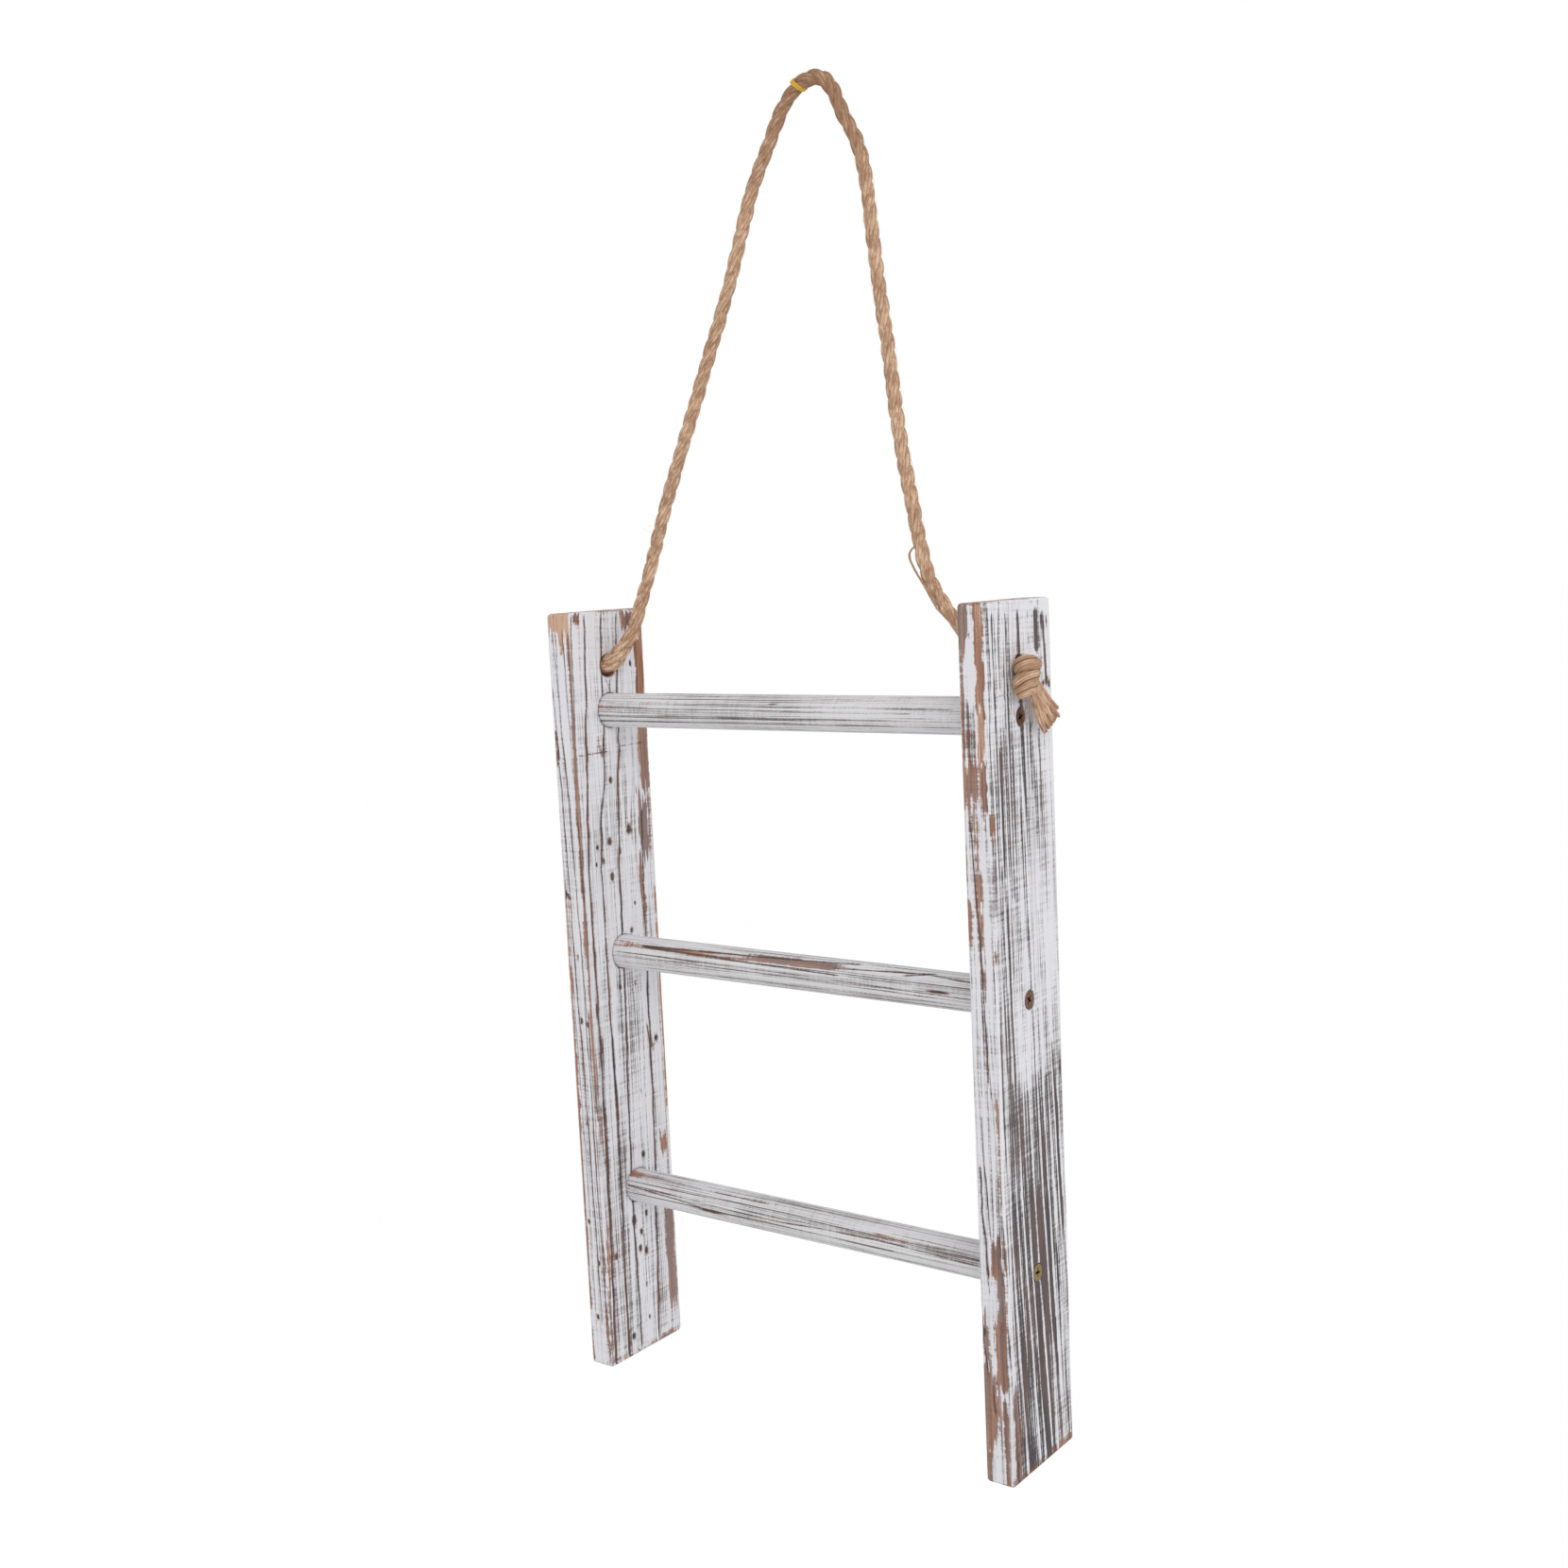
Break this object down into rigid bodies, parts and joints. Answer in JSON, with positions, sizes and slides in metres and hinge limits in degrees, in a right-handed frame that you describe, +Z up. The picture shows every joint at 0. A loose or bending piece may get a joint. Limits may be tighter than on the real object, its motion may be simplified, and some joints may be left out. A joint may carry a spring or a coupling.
{
  "type": "wall towel rack",
  "caption": "Small wooden ladder rack for towels: dowel rungs screwed between two side boards, hung from a wall hook by a knotted loop of jute rope.",
  "frame": {"origin": "underside of the rope's top bend, where the loop sits on its wall hook; the wall is the plane Y = +4.5 mm", "axes": "+Z up along the side boards, +Y towards the wall, +X along the rungs, to the right as seen from the room"},
  "size_m": [0.3148, 0.0652, 0.7313],
  "materials": {
    "whitewashed_rail": "wire-brushed board with a worn white wash over dark grooves",
    "whitewashed_rung": "turned dowel with a thin white wash over fine grey grain lines",
    "jute": "three-strand twisted jute rope with stray fibres",
    "marker_yarn": "soft yellow yarn",
    "bronze_screw": "dark bronze-plated, cross recess",
    "brass_screw": "yellow zinc-plated, cross recess"
  },
  "bodies": {
    "rope": {"rope_loop": "jute", "rope_marker": "marker_yarn", "rope_knot_left": "jute", "rope_knot_right": "jute"},
    "ladder": {"rail_left": "whitewashed_rail", "rail_right": "whitewashed_rail", "rung_top": "whitewashed_rung", "rung_middle": "whitewashed_rung", "rung_bottom": "whitewashed_rung", "screw_left_top": "bronze_screw", "screw_left_middle": "bronze_screw", "screw_left_bottom": "brass_screw", "screw_right_top": "bronze_screw", "screw_right_middle": "bronze_screw", "screw_right_bottom": "brass_screw"}
  },
  "joints": [
    {"name": "ladder_swing", "type": "hinge", "parent": "rope", "child": "ladder", "pos_m": [-0.015, -0.028, -0.306], "axis": [1, 0, 0], "range_deg": [-145, 135]}
  ]
}
